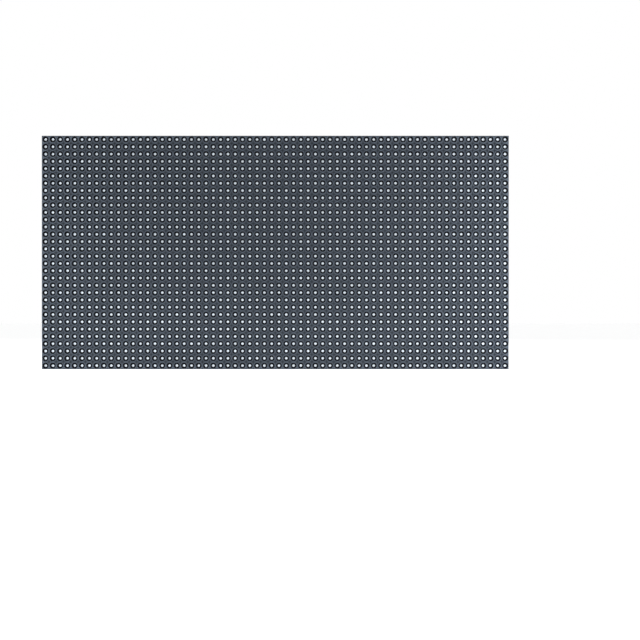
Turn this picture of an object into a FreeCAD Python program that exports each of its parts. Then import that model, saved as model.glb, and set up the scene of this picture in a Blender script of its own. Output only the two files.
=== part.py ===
import FreeCAD, Part
import math
import os

from FreeCAD import Vector

# RGB LED matrix panel: 64 x 32 lamps at 4 mm pitch, standing on its long edge.
# X runs to the right as seen from the front, Y from the display face to the rear, Z up.
# The origin is at the middle of the panel's depth, on its bottom edge. Sizes are in millimetres.

# Display field
lamp_pitch = 4.0
lamp_columns = 64
lamp_rows = 32
lamp_size = 2.1
lamp_height = 1.5
lamp_gap = 0.1

# Front mask
window_depth = 0.8
window_roof = 0.2
mask_pin_radius = 0.5
mask_pin_gap = 0.05
mask_pin_columns = (9, 16, 23)
mask_pin_rows = (-7, 0, 7)

# Circuit board
board_inset = 0.2
board_thickness = 1.6

# Rear frame
frame_depth = 10.3
floor_thickness = 1.6
outer_wall = 1.3
rim_chamfer = 0.4
window_wall = 1.7
bar_width = 9.2
bar_wall = 1.1
window_side_margin = 11.0
window_end_margin = 11.2
window_corner_radius = 5.5
bar_corner_radius = 4.2
bulge_depth = 5.4
bulge_length = 35.0
bulge_flat = 0.2
rib_thickness = 0.9
rib_drop = 0.8
zigzag_pitch = 28.0
zigzag_first = 22.0
zigzag_count = 3
zigzag_low = 3.4
zigzag_start = 4.5
side_rib_offset = 28.0
cross_offset = 16.2
cross_half_height = 10.6
end_cross_height = 18.3
end_cross_reach = 8.6
end_cross_leg = 1.4
gate_mark_radius = 0.8
gate_mark_height = 0.5

# Locating pegs on the rear frame
peg_side_inset = 21.6
peg_z = 8.7
peg_radius = 1.9
peg_stand = 3.0
peg_tip_height = 1.3
peg_tip_radius = 0.7

# Threaded inserts and their bosses
insert_inset = 7.5
insert_boss_radius = 4.1
insert_radius = 2.4
insert_length = 5.5
insert_seat_gap = 0.2
insert_thread_radius = 1.25
insert_lead_in = 0.35

# Countersunk screws that hold the board to the frame
screw_inset_count = 2
screw_shank_radius = 0.8
screw_head_radius = 1.3
screw_length = 4.8
screw_hole_gap = 0.1
screw_tip_height = 0.6
screw_tip_radius = 0.2
pilot_extra_depth = 0.2

# Bare copper rings on the back of the board
ring_side_inset = 14.0
ring_z = 12.6
ring_radius = 2.5
ring_hole_radius = 1.1
ring_thickness = 0.1

# Driver chips: four columns of six, the columns counted in lamp pitches from the middle
driver_columns = (11, 25)
driver_group_pitch = 12.0
driver_group_count = 3
driver_first_z = 19.5
driver_length = 8.65
driver_width = 3.9
driver_span = 6.0
driver_lead_row = 7.4

# All chip bodies
chip_standoff = 0.1
chip_body_height = 1.5
chip_draft = 0.2
lead_thickness = 0.2
lead_shoulder = 0.35
lead_foot = 0.6

# Buffer chips, lying along X, and row switch chips, standing along Z
buffer_places = ((14.7, 20.2), (-13.5, 44.4))
buffer_length = 10.2
buffer_width = 5.3
buffer_span = 7.8
buffer_lead_count = 8
switch_places = ((44.3, 58.8), (99.9, 71.2))
switch_length = 6.4
switch_width = 3.9
switch_span = 6.0
switch_lead_count = 5
lead_pitch = 1.27
lead_width = 0.42

# Chip capacitors, one above each driver chip
bypass_length = 3.2
bypass_width = 0.9
bypass_height = 0.8
bypass_offset = 1.3

# Can capacitors
can_places = (("upper", 26.1, 68.7), ("lower", 14.1, 33.2))
can_radius = 3.15
can_height = 6.1
can_edge_radius = 0.3
can_groove_depth = 0.25
can_groove_height = 0.6
can_groove_place = 0.9
can_base_size = 6.6
can_base_height = 1.2
can_base_rim = 0.4
can_base_corner = 1.2
can_clearance = 0.05

# Data headers: shrouded, two rows of eight square pins
header_from_chips = 18.0
header_pin_pitch = 2.54
header_row_count = 8
header_pin_size = 0.64
header_pin_tip = 0.4
header_pin_height = 8.4
header_width = 8.8
header_length = 28.0
header_height = 9.0
header_wall = 1.2
header_floor = 2.4
header_key_width = 4.5
header_key_floor = 4.0

# Power header: four square pins in an open housing
power_x = -22.85
power_pin_z = 72.5
power_pin_pitch = 3.96
power_pin_count = 4
power_pin_size = 1.14
power_pin_height = 9.2
power_pin_tip = 0.5
power_body_length = 15.8
power_body_below = 6.0
power_body_above = 3.4
power_floor = 3.4
power_lock_wall = 1.2
power_lock_height = 9.0
power_foot_width = 2.4
power_foot_reach = 7.9
power_foot_length = 1.5
power_strap_width = 1.14
power_foot_thickness = 0.4

# Sizes and places that follow from the ones above
width = lamp_pitch * lamp_columns
height = lamp_pitch * lamp_rows
mask_roof = window_depth + window_roof
mask_depth = mask_roof + lamp_gap + lamp_height
channel_height = lamp_size + 2 * lamp_gap
mask_end_wall = (lamp_pitch - channel_height) / 2
total_depth = mask_depth + board_thickness + frame_depth + peg_stand
face_y = -total_depth / 2
board_y = face_y + mask_depth
rear_y = board_y + board_thickness
rim_y = rear_y + frame_depth
rib_y = rim_y - rib_drop
bulge_radius = (bulge_depth - bulge_flat) / 2
screw_inset = screw_inset_count * lamp_pitch
peg_x = width / 2 - peg_side_inset
ring_x = width / 2 - ring_side_inset
driver_columns_x = [count * lamp_pitch for count in driver_columns]
header_x = max(driver_columns_x) - header_from_chips
middle_z = height / 2

PARTS = "parts"


def save(name, shape):
    """Write one named piece to its own file."""
    shape.exportStep(os.path.join(PARTS, name + ".step"))


def block(x0, x1, y0, y1, z0, z1):
    """A box between two corners."""
    return Part.makeBox(x1 - x0, y1 - y0, z1 - z0, Vector(x0, y0, z0))


def post(x, z, radius, y0, y1):
    """A round post or hole along the depth of the panel."""
    return Part.makeCylinder(radius, y1 - y0, Vector(x, y0, z), Vector(0, 1, 0))


def taper(x, z, radius0, radius1, y0, y1):
    """A cone along the depth of the panel, with a radius at each end."""
    return Part.makeCone(radius0, radius1, y1 - y0, Vector(x, y0, z), Vector(0, 1, 0))


def fuse_all(shapes):
    """One solid out of several that touch or overlap."""
    return shapes[0].multiFuse(shapes[1:]).removeSplitter()


def mirrored(places):
    """Each (x, z) place in all four quarters of the panel."""
    found = []
    for x, z in places:
        for side in (-1, 1):
            for level in (z, height - z):
                if (side * x, level) not in found:
                    found.append((side * x, level))
    return found


def rounded_prism(corners, y0, y1):
    """A prism whose outline has square corners, each (x, z, radius) with its own round."""
    points = [Vector(x, y0, z) for x, z, radius in corners]
    edges = []
    last_end = None
    first_start = None
    count = len(corners)
    for i in range(count):
        corner = points[i]
        radius = corners[i][2]
        to_last = (points[i - 1] - corner).normalize()
        to_next = (points[(i + 1) % count] - corner).normalize()
        start = corner + to_last * radius
        end = corner + to_next * radius
        middle = corner + (to_last + to_next) * radius * (1 - math.sqrt(0.5))
        if last_end is not None:
            edges.append(Part.LineSegment(last_end, start).toShape())
        else:
            first_start = start
        edges.append(Part.Arc(start, middle, end).toShape())
        last_end = end
    edges.append(Part.LineSegment(last_end, first_start).toShape())
    return Part.Face(Part.Wire(edges)).extrude(Vector(0, y1 - y0, 0))


def all_screw_places():
    """The board screws: one in each insert boss and one in the middle of the bar."""
    outer = mirrored([(width / 2 - screw_inset, screw_inset)])
    middle = [(0, screw_inset), (0, height - screw_inset), (0, middle_z)]
    return outer + middle


def all_insert_places():
    """The six threaded inserts: four corners and the ends of the middle bar."""
    corners = mirrored([(width / 2 - insert_inset, insert_inset)])
    return corners + [(0, insert_inset), (0, height - insert_inset)]


def mask_pin_places():
    """The mask's pins, on a square grid that leaves the middle bar free."""
    places = []
    for column in mask_pin_columns:
        for row in mask_pin_rows:
            places.append((column * lamp_pitch, middle_z + row * lamp_pitch))
            places.append((-column * lamp_pitch, middle_z + row * lamp_pitch))
    return places


def groove_profile(count, back_y, along, at):
    """A closed outline with one V groove for each lamp along one direction."""
    def point(distance, y):
        if along == "x":
            return Vector(distance - width / 2, y, at)
        return Vector(at, y, distance)

    points = [point(0, back_y)]
    for i in range(count):
        points.append(point(i * lamp_pitch, face_y))
        points.append(point((i + 0.5) * lamp_pitch, face_y + window_depth))
    points.append(point(count * lamp_pitch, face_y))
    points.append(point(count * lamp_pitch, back_y))
    return points


def front_mask():
    """The moulded mask: upright and level V grooves meet as one pit for each lamp."""
    upright = groove_profile(lamp_columns, face_y + mask_roof, "x", 0)
    upright.append(upright[0])
    upright_plate = Part.Face(Part.makePolygon(upright)).extrude(Vector(0, 0, height))

    roof_y = face_y + mask_roof
    level = groove_profile(lamp_rows, board_y, "z", -width / 2)
    for row in reversed(range(lamp_rows)):
        top_z = (row + 0.5) * lamp_pitch + channel_height / 2
        low_z = top_z - channel_height
        for z, y in ((top_z, board_y), (top_z, roof_y), (low_z, roof_y), (low_z, board_y)):
            level.append(Vector(-width / 2, y, z))
    level.append(level[0])
    level_plate = Part.Face(Part.makePolygon(level)).extrude(Vector(width, 0, 0))

    pieces = [level_plate]
    for x in (-width / 2, width / 2 - mask_end_wall):
        pieces.append(block(x, x + mask_end_wall, roof_y, board_y, 0, height))
    for x, z in mask_pin_places():
        pieces.append(post(x, z, mask_pin_radius, board_y, rear_y))
    return upright_plate.multiFuse(pieces)


def lamp_rows_on_board():
    """The lamps, each row of 64 as one bar in its channel of the mask."""
    half_row = (lamp_columns - 1) * lamp_pitch / 2 + lamp_size / 2
    bars = []
    for row in range(lamp_rows):
        z = (row + 0.5) * lamp_pitch
        bars.append(block(-half_row, half_row, board_y - lamp_height, board_y,
                          z - lamp_size / 2, z + lamp_size / 2))
    return Part.makeCompound(bars)


def circuit_board():
    """The board, with holes for the mask's pins, the screws and the copper rings."""
    board = block(-width / 2 + board_inset, width / 2 - board_inset, board_y, rear_y,
                  board_inset, height - board_inset)
    holes = []
    for x, z in mask_pin_places():
        holes.append(post(x, z, mask_pin_radius + mask_pin_gap, board_y, rear_y))
    for x, z in all_screw_places():
        holes.append(post(x, z, screw_shank_radius + screw_hole_gap, board_y, rear_y))
        holes.append(countersink(x, z))
    for side in (-1, 1):
        holes.append(post(side * ring_x, ring_z, ring_hole_radius, board_y, rear_y))
        holes.append(post(side * ring_x, ring_z, ring_radius, rear_y - ring_thickness, rear_y))
    return board.cut(Part.makeCompound(holes))


def countersink(x, z):
    """The cone under a screw's head, flush with the front of the board."""
    depth = screw_head_radius - screw_shank_radius
    return taper(x, z, screw_head_radius, screw_shank_radius, board_y, board_y + depth)


def copper_rings():
    """Two bare rings, let into the back of the board."""
    rings = []
    for side in (-1, 1):
        disc = post(side * ring_x, ring_z, ring_radius, rear_y - ring_thickness, rear_y)
        hole = post(side * ring_x, ring_z, ring_hole_radius, rear_y - ring_thickness, rear_y)
        rings.append(disc.cut(hole))
    return Part.makeCompound(rings)


def board_screws():
    """Seven countersunk screws, driven from the lamp side into the frame's bosses."""
    screws = []
    for x, z in all_screw_places():
        tip_y = board_y + screw_length
        shank = post(x, z, screw_shank_radius, board_y, tip_y - screw_tip_height)
        tip = taper(x, z, screw_shank_radius, screw_tip_radius, tip_y - screw_tip_height, tip_y)
        screws.append(fuse_all([countersink(x, z), shank, tip]))
    return Part.makeCompound(screws)


def window_outline(side, wall, bar):
    """One window of the frame, grown by a wall on its outer sides and by another at the bar."""
    x_bar = bar_width / 2 - bar
    x_side = width / 2 - window_side_margin + wall
    x_bulge = x_side + bulge_depth
    z_low = window_end_margin - wall
    z_high = height - window_end_margin + wall
    bulge_half = bulge_length / 2 + wall
    inside = bulge_radius - wall
    outside = bulge_radius + wall
    corner = window_corner_radius + wall
    bar_corner = bar_corner_radius + bar
    outline = [
        (x_bar, z_low, bar_corner),
        (x_side, z_low, corner),
        (x_side, middle_z - bulge_half, inside),
        (x_bulge, middle_z - bulge_half, outside),
        (x_bulge, middle_z + bulge_half, outside),
        (x_side, middle_z + bulge_half, inside),
        (x_side, z_high, corner),
        (x_bar, z_high, bar_corner),
    ]
    return [(side * x, z, radius) for x, z, radius in outline]


def rib(start, end):
    """A straight upright rib between two (x, z) places."""
    run = math.hypot(end[0] - start[0], end[1] - start[1])
    angle = math.degrees(math.atan2(end[1] - start[1], end[0] - start[0]))
    shape = Part.makeBox(run, rib_y - rear_y, rib_thickness, Vector(0, rear_y, -rib_thickness / 2))
    shape.rotate(Vector(0, 0, 0), Vector(0, 1, 0), -angle)
    shape.translate(Vector(start[0], 0, start[1]))
    return shape


def frame_ribs():
    """The stiffening ribs of one quarter of the frame, in its lower right corner."""
    wall_z = window_end_margin - window_wall / 2
    wall_x = width / 2 - window_side_margin + window_wall / 2
    outer_mid = outer_wall / 2
    bar_mid = bar_width / 2 - bar_wall / 2
    boss_x = width / 2 - insert_inset
    lines = [((zigzag_start, outer_mid), (zigzag_first, wall_z))]
    for i in range(zigzag_count):
        x = zigzag_first + i * zigzag_pitch
        peak = x + zigzag_pitch / 2
        lines.append(((x, wall_z), (peak, zigzag_low)))
        lines.append(((peak, zigzag_low), (x + zigzag_pitch, wall_z)))
        lines.append(((peak, zigzag_low), (peak, outer_mid)))
    edge_x = width / 2 - outer_mid
    side_rib_z = middle_z - side_rib_offset
    lines.append(((wall_x, side_rib_z), (edge_x, side_rib_z)))
    lines.append(((edge_x, outer_mid), (boss_x, insert_inset)))
    inner_corner = window_corner_radius * (1 - math.sqrt(0.5))
    lines.append(((boss_x, insert_inset), (wall_x - inner_corner, wall_z + inner_corner)))
    cross_z = middle_z - cross_offset
    lines.append(((bar_mid, cross_z + cross_half_height), (-bar_mid, cross_z - cross_half_height)))
    lines.append(((bar_mid, end_cross_height + end_cross_reach), (0, end_cross_height)))
    lines.append(((0, end_cross_height), (end_cross_leg, insert_inset)))
    return lines


def rear_frame():
    """The moulded rear frame: a floor on the board, walls, ribs, bosses and pegs."""
    outer = block(-width / 2, width / 2, rear_y, rim_y, 0, height)
    rim_edges = [edge for edge in outer.Edges if edge.BoundBox.YMin > rim_y - rim_chamfer]
    outer = outer.makeChamfer(rim_chamfer, rim_edges)
    hollow = block(-width / 2 + outer_wall, width / 2 - outer_wall, rear_y + floor_thickness, rim_y,
                   outer_wall, height - outer_wall)
    pieces = [outer.cut(hollow)]
    for side in (-1, 1):
        pieces.append(rounded_prism(window_outline(side, window_wall, bar_wall), rear_y, rim_y))
    for start, end in frame_ribs():
        for side in (-1, 1):
            pieces.append(rib((side * start[0], start[1]), (side * end[0], end[1])))
            pieces.append(rib((side * start[0], height - start[1]), (side * end[0], height - end[1])))
    for x, z in all_insert_places():
        pieces.append(post(x, z, insert_boss_radius, rear_y, rim_y))
    pieces.append(post(0, middle_z, bar_width / 2, rear_y, rib_y))
    pieces.append(post(0, middle_z, gate_mark_radius, rib_y, rib_y + gate_mark_height))
    for x, z in ((peg_x, peg_z), (-peg_x, height - peg_z)):
        shoulder_y = rim_y + peg_stand - peg_tip_height
        pieces.append(post(x, z, peg_radius, rear_y, shoulder_y))
        pieces.append(taper(x, z, peg_radius, peg_tip_radius, shoulder_y, rim_y + peg_stand))
    body = fuse_all(pieces)

    cuts = []
    for side in (-1, 1):
        cuts.append(rounded_prism(window_outline(side, 0, 0), rear_y, rim_y))
    insert_seat_y = rim_y - insert_length - insert_seat_gap
    for x, z in all_insert_places():
        cuts.append(post(x, z, insert_radius, insert_seat_y, rim_y))
    pilot_y = board_y + screw_length + pilot_extra_depth
    for x, z in all_screw_places():
        cuts.append(post(x, z, screw_shank_radius, rear_y, pilot_y))
    return body.cut(Part.makeCompound(cuts)).removeSplitter()


def threaded_inserts():
    """Six brass inserts, flush with the rear rim."""
    inserts = []
    for x, z in all_insert_places():
        sleeve = post(x, z, insert_radius, rim_y - insert_length, rim_y)
        bore = post(x, z, insert_thread_radius, rim_y - insert_length, rim_y)
        mouth = taper(x, z, insert_thread_radius, insert_thread_radius + insert_lead_in,
                      rim_y - insert_lead_in, rim_y)
        inserts.append(sleeve.cut(Part.makeCompound([bore, mouth])))
    return Part.makeCompound(inserts)


def drafted_block(x, z, x_size, z_size, y0, y1):
    """A moulded block, widest at half its depth and drafted to both faces."""
    half_x = x_size / 2
    half_z = z_size / 2
    middle_y = (y0 + y1) / 2
    small_x = half_x - chip_draft
    small_z = half_z - chip_draft
    lower = Part.makeWedge(x - small_x, y0, z - small_z, z - half_z, x - half_x,
                           x + small_x, middle_y, z + small_z, z + half_z, x + half_x)
    upper = Part.makeWedge(x - half_x, middle_y, z - half_z, z - small_z, x - small_x,
                           x + half_x, y1, z + half_z, z + small_z, x + small_x)
    return lower.fuse(upper)


def gull_wing(body_half, span_half, run):
    """A gull-wing lead, or a row of them as one strip, bent in X and run along Z."""
    exit_y = chip_standoff + chip_body_height / 2
    half = lead_thickness / 2
    knee = body_half + lead_shoulder
    ankle = span_half - lead_foot
    profile = [
        (body_half - chip_draft, exit_y - half),
        (knee - half, exit_y - half),
        (ankle - half, 0),
        (span_half, 0),
        (span_half, lead_thickness),
        (ankle + half, lead_thickness),
        (knee + half, exit_y + half),
        (body_half - chip_draft, exit_y + half),
    ]
    points = [Vector(x, rear_y + y, -run / 2) for x, y in profile]
    points.append(points[0])
    return Part.Face(Part.makePolygon(points)).extrude(Vector(0, 0, run))


def chip(length, chip_width, span, lead_places, lead_run):
    """A chip along Z, centred at X 0 and Z 0, with a lead on each side at each place."""
    body = drafted_block(0, 0, chip_width, length, rear_y + chip_standoff,
                         rear_y + chip_standoff + chip_body_height)
    lead = gull_wing(chip_width / 2, span / 2, lead_run)
    pieces = [body]
    for lead_z in lead_places:
        right = placed(lead, 0, lead_z)
        pieces.append(right)
        pieces.append(right.mirror(Vector(0, 0, 0), Vector(1, 0, 0)))
    return fuse_all(pieces)


def lead_centres(count):
    """Evenly spaced places for the leads of one side of a chip."""
    return [(i - (count - 1) / 2) * lead_pitch for i in range(count)]


def placed(shape, x, z):
    """A copy of a piece, moved along the board."""
    copy = shape.copy()
    copy.translate(Vector(x, 0, z))
    return copy


def driver_places():
    """Names and places of the driver chips: column by column, from the bottom up."""
    columns = sorted([-x for x in driver_columns_x] + driver_columns_x)
    places = []
    for column, x in enumerate(columns):
        for i in range(2 * driver_group_count):
            group = i // driver_group_count
            z = driver_first_z + group * middle_z + (i % driver_group_count) * driver_group_pitch
            places.append((column + 1, i + 1, x, z))
    return places


def bypass_capacitors(column):
    """The chip capacitors of one column, each above the end of its driver chip."""
    pieces = []
    for number, row, x, z in driver_places():
        if number == column:
            low = z + driver_length / 2 + bypass_offset - bypass_width / 2
            pieces.append(block(x - bypass_length / 2, x + bypass_length / 2, rear_y,
                                rear_y + bypass_height, low, low + bypass_width))
    return Part.makeCompound(pieces)


def can_capacitor(x, z):
    """A surface-mount can capacitor: its plastic base and its aluminium can."""
    half = can_base_size / 2
    base = block(x - half, x + half, rear_y, rear_y + can_base_height, z - half, z + half)
    corners = []
    for edge in base.Edges:
        box = edge.BoundBox
        if box.YLength > can_base_height / 2 and box.XMin < x:
            corners.append(edge)
    base = base.makeChamfer(can_base_corner, corners)
    seat_y = rear_y + can_base_height - can_base_rim
    base = base.cut(post(x, z, can_radius + can_clearance, seat_y, rear_y + can_base_height))

    groove_low = seat_y + can_groove_place
    groove_high = groove_low + can_groove_height
    top_y = seat_y + can_height
    waist = can_radius - can_groove_depth
    outline = [
        Vector(0, seat_y, 0),
        Vector(can_radius, seat_y, 0),
        Vector(can_radius, groove_low, 0),
        Vector(waist, (groove_low + groove_high) / 2, 0),
        Vector(can_radius, groove_high, 0),
        Vector(can_radius, top_y, 0),
        Vector(0, top_y, 0),
        Vector(0, seat_y, 0),
    ]
    can = Part.Face(Part.makePolygon(outline)).revolve(Vector(0, 0, 0), Vector(0, 1, 0), 360)
    top_edges = [edge for edge in can.Edges if edge.BoundBox.YMin > top_y - can_edge_radius]
    can = can.makeFillet(can_edge_radius, top_edges)
    return base, placed(can, x, z)


def square_pin(x, z, size, y0, y1, tip):
    """A square pin whose short tip tapers to half the width."""
    half = size / 2
    tip_half = half / 2
    shank = block(x - half, x + half, y0, y1 - tip, z - half, z + half)
    end = Part.makeWedge(x - half, y1 - tip, z - half, z - tip_half, x - tip_half,
                         x + half, y1, z + half, z + tip_half, x + tip_half)
    return shank.fuse(end).removeSplitter()


def data_header(x):
    """A shrouded data header: the shroud and its sixteen pins."""
    pins = []
    for row in range(header_row_count):
        z = middle_z + (row - (header_row_count - 1) / 2) * header_pin_pitch
        for side in (-0.5, 0.5):
            pins.append(square_pin(x + side * header_pin_pitch, z, header_pin_size,
                                   rear_y, rear_y + header_pin_height, header_pin_tip))
    pins = Part.makeCompound(pins)

    half_width = header_width / 2
    half_length = header_length / 2
    shroud = block(x - half_width, x + half_width, rear_y, rear_y + header_height,
                   middle_z - half_length, middle_z + half_length)
    socket = block(x - half_width + header_wall, x + half_width - header_wall,
                   rear_y + header_floor, rear_y + header_height,
                   middle_z - half_length + header_wall, middle_z + half_length - header_wall)
    key = block(x + half_width - header_wall, x + half_width,
                rear_y + header_key_floor, rear_y + header_height,
                middle_z - header_key_width / 2, middle_z + header_key_width / 2)
    shroud = shroud.cut(Part.makeCompound([socket, key])).cut(pins)
    return shroud, pins


def power_header():
    """The power header: an open housing with a lock wall, and four pins with solder feet."""
    pins = []
    for i in range(power_pin_count):
        x = power_x + (i - (power_pin_count - 1) / 2) * power_pin_pitch
        pin = square_pin(x, power_pin_z, power_pin_size, rear_y, rear_y + power_pin_height, power_pin_tip)
        foot_z = power_pin_z - power_foot_reach
        strap = block(x - power_strap_width / 2, x + power_strap_width / 2,
                      rear_y, rear_y + power_foot_thickness, foot_z, power_pin_z)
        foot = block(x - power_foot_width / 2, x + power_foot_width / 2,
                     rear_y, rear_y + power_foot_thickness, foot_z, foot_z + power_foot_length)
        pins.append(fuse_all([pin, strap, foot]))
    pins = Part.makeCompound(pins)

    half_length = power_body_length / 2
    low_z = power_pin_z - power_body_below
    high_z = power_pin_z + power_body_above
    floor = block(power_x - half_length, power_x + half_length, rear_y, rear_y + power_floor, low_z, high_z)
    lock = block(power_x - half_length, power_x + half_length, rear_y, rear_y + power_lock_height,
                 high_z - power_lock_wall, high_z)
    housing = fuse_all([floor, lock]).cut(pins)
    return housing, pins


def main():
    os.makedirs(PARTS, exist_ok=True)
    save("front_mask", front_mask())
    save("lamp_rows", lamp_rows_on_board())
    save("circuit_board", circuit_board())
    save("copper_rings", copper_rings())
    save("board_screws", board_screws())
    save("rear_frame", rear_frame())
    save("threaded_inserts", threaded_inserts())

    driver_chip = chip(driver_length, driver_width, driver_span, [0], driver_lead_row)
    for column, row, x, z in driver_places():
        save("driver_chip_%d_%d" % (column, row), placed(driver_chip, x, z))
    for column in range(1, 2 * len(driver_columns_x) + 1):
        save("bypass_capacitors_%d" % column, bypass_capacitors(column))

    switch_chip = chip(switch_length, switch_width, switch_span, lead_centres(switch_lead_count), lead_width)
    for number, (x, z) in enumerate(switch_places, 1):
        save("switch_chip_%d" % number, placed(switch_chip, x, z))
    buffer_chip = chip(buffer_length, buffer_width, buffer_span, lead_centres(buffer_lead_count), lead_width)
    buffer_chip.rotate(Vector(0, 0, 0), Vector(0, 1, 0), 90)
    for number, (x, z) in enumerate(buffer_places, 1):
        save("buffer_chip_%d" % number, placed(buffer_chip, x, z))

    for name, x, z in can_places:
        base, can = can_capacitor(x, z)
        save(name + "_capacitor_base", base)
        save(name + "_capacitor_can", can)

    for name, x in (("input_header", header_x), ("output_header", -header_x)):
        shroud, pins = data_header(x)
        save(name + "_shroud", shroud)
        save(name + "_pins", pins)
    housing, pins = power_header()
    save("power_header_housing", housing)
    save("power_header_pins", pins)


main()
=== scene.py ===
import math

import bmesh
import bpy
from mathutils import Matrix, Vector


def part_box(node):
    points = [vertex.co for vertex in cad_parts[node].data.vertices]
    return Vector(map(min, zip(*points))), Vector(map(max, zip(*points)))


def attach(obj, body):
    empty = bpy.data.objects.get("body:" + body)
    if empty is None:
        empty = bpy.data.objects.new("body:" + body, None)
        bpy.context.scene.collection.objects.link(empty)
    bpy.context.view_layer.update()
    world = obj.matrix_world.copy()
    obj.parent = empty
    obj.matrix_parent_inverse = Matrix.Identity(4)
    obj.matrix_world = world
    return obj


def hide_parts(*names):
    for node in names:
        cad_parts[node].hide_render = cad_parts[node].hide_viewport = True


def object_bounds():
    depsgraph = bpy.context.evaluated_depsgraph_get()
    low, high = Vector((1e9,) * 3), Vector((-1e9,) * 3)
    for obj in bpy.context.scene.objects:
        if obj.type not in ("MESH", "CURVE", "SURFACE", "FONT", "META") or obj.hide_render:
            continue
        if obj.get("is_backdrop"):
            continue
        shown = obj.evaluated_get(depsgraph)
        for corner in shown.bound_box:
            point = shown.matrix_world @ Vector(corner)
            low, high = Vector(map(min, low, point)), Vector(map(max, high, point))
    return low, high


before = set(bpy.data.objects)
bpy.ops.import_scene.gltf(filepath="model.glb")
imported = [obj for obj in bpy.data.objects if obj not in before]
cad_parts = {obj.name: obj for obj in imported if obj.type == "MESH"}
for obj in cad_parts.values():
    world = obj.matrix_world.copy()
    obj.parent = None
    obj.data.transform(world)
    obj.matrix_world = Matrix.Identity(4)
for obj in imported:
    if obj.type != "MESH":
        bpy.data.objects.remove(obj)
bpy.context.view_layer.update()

# The camera looks straight at the display face from 1.2 m away. The panel stands in the upper
# left of the picture, so the camera is to the right of the panel's middle and near its foot.
MM = 0.001
mask_low, mask_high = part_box("front_mask")
face_y = mask_low.y
view_distance = 1200 * MM
view_width = 350.8 * MM
view_x = 24.5 * MM
view_z = 27.0 * MM
camera_data = bpy.data.cameras.new("camera")
camera_data.sensor_width = 36
camera_data.lens = camera_data.sensor_width * view_distance / view_width
camera_data.clip_start = 10 * MM
camera = bpy.data.objects.new("camera", camera_data)
camera.location = (view_x, face_y - view_distance, view_z)
camera.rotation_euler = (math.radians(90), 0, 0)
bpy.context.scene.collection.objects.link(camera)
bpy.context.scene.camera = camera
bpy.context.scene.view_settings.view_transform = "Standard"


# The circuit board: glass-epoxy with a blue-black solder resist over its copper, its bare edge the
# colour of the epoxy. It lies on the frame's floor, and everything else is soldered to it.
board_low, board_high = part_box("circuit_board")
board_y = board_low.y
rear_y = board_high.y


def tone(red, green, blue):
    """A paint colour from its 8-bit tones."""
    shades = []
    for shade in (red, green, blue):
        part = shade / 255
        shades.append(part / 12.92 if part <= 0.04045 else ((part + 0.055) / 1.055) ** 2.4)
    return (*shades, 1.0)


def finish(name, colour, mottle=0.06, mottle_mm=6.0, grain=0.1, grain_mm=0.25, roughness=0.5, **sockets):
    """A finish whose colour drifts softly and whose surface has a fine grain."""
    material = bpy.data.materials.new(name)
    material.use_nodes = True
    nodes = material.node_tree.nodes
    links = material.node_tree.links
    shader = nodes["Principled BSDF"]
    shader.inputs["Roughness"].default_value = roughness
    for socket, value in sockets.items():
        shader.inputs[socket.replace("_", " ")].default_value = value
    place = nodes.new("ShaderNodeTexCoord")

    drift = nodes.new("ShaderNodeTexNoise")
    drift.inputs["Scale"].default_value = 1 / (mottle_mm * MM)
    drift.inputs["Detail"].default_value = 3
    links.new(place.outputs["Object"], drift.inputs["Vector"])
    shades = nodes.new("ShaderNodeMix")
    shades.name = "shades"
    shades.data_type = "RGBA"
    shades.inputs[6].default_value = (*[c * (1 - mottle) for c in colour[:3]], 1)
    shades.inputs[7].default_value = (*[min(c * (1 + mottle), 1) for c in colour[:3]], 1)
    links.new(drift.outputs["Fac"], shades.inputs["Factor"])
    links.new(shades.outputs[2], shader.inputs["Base Color"])

    grains = nodes.new("ShaderNodeTexNoise")
    grains.inputs["Scale"].default_value = 1 / (grain_mm * MM)
    grains.inputs["Detail"].default_value = 2
    links.new(place.outputs["Object"], grains.inputs["Vector"])
    relief = nodes.new("ShaderNodeBump")
    relief.inputs["Strength"].default_value = grain
    relief.inputs["Distance"].default_value = 0.02 * MM
    links.new(grains.outputs["Fac"], relief.inputs["Height"])
    links.new(relief.outputs["Normal"], shader.inputs["Normal"])
    return material


def dress(piece, *materials):
    """Give a piece its finishes in place of those it came with."""
    piece.data.materials.clear()
    for material in materials:
        piece.data.materials.append(material)


def edit(piece, kind="EDGE"):
    """Go into edit mode on one piece, with everything selected."""
    bpy.ops.object.select_all(action="DESELECT")
    piece.select_set(True)
    bpy.context.view_layer.objects.active = piece
    bpy.ops.object.mode_set(mode="EDIT")
    bpy.ops.mesh.select_mode(type=kind)
    bpy.ops.mesh.select_all(action="SELECT")


def done():
    """Leave edit mode."""
    bpy.ops.object.mode_set(mode="OBJECT")


def weld(piece):
    """Merge the piece's doubled corners and point its faces outwards."""
    edit(piece)
    bpy.ops.mesh.remove_doubles(threshold=0.002 * MM)
    bpy.ops.mesh.select_all(action="SELECT")
    bpy.ops.mesh.normals_make_consistent(inside=False)
    done()


def shaped(piece, kind, **settings):
    """Put one modifier on a piece and apply it."""
    modifier = piece.modifiers.new(kind.lower(), kind)
    for name, value in settings.items():
        setattr(modifier, name, value)
    bpy.ops.object.select_all(action="DESELECT")
    piece.select_set(True)
    bpy.context.view_layer.objects.active = piece
    bpy.ops.object.modifier_apply(modifier=modifier.name)
    return piece


def eased(node, width):
    """A copy of a solid, its flat faces made whole and its sharp edges eased as from the mould."""
    piece = bpy.data.objects.new(node + "_eased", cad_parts[node].data.copy())
    bpy.context.scene.collection.objects.link(piece)
    weld(piece)
    bpy.ops.mesh.customdata_custom_splitnormals_clear()
    edit(piece)
    bpy.ops.mesh.dissolve_limited(angle_limit=math.radians(1))
    done()
    if width:
        shaped(piece, "BEVEL", width=width, segments=1, limit_method="ANGLE", angle_limit=math.radians(40))
    return piece


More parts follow.
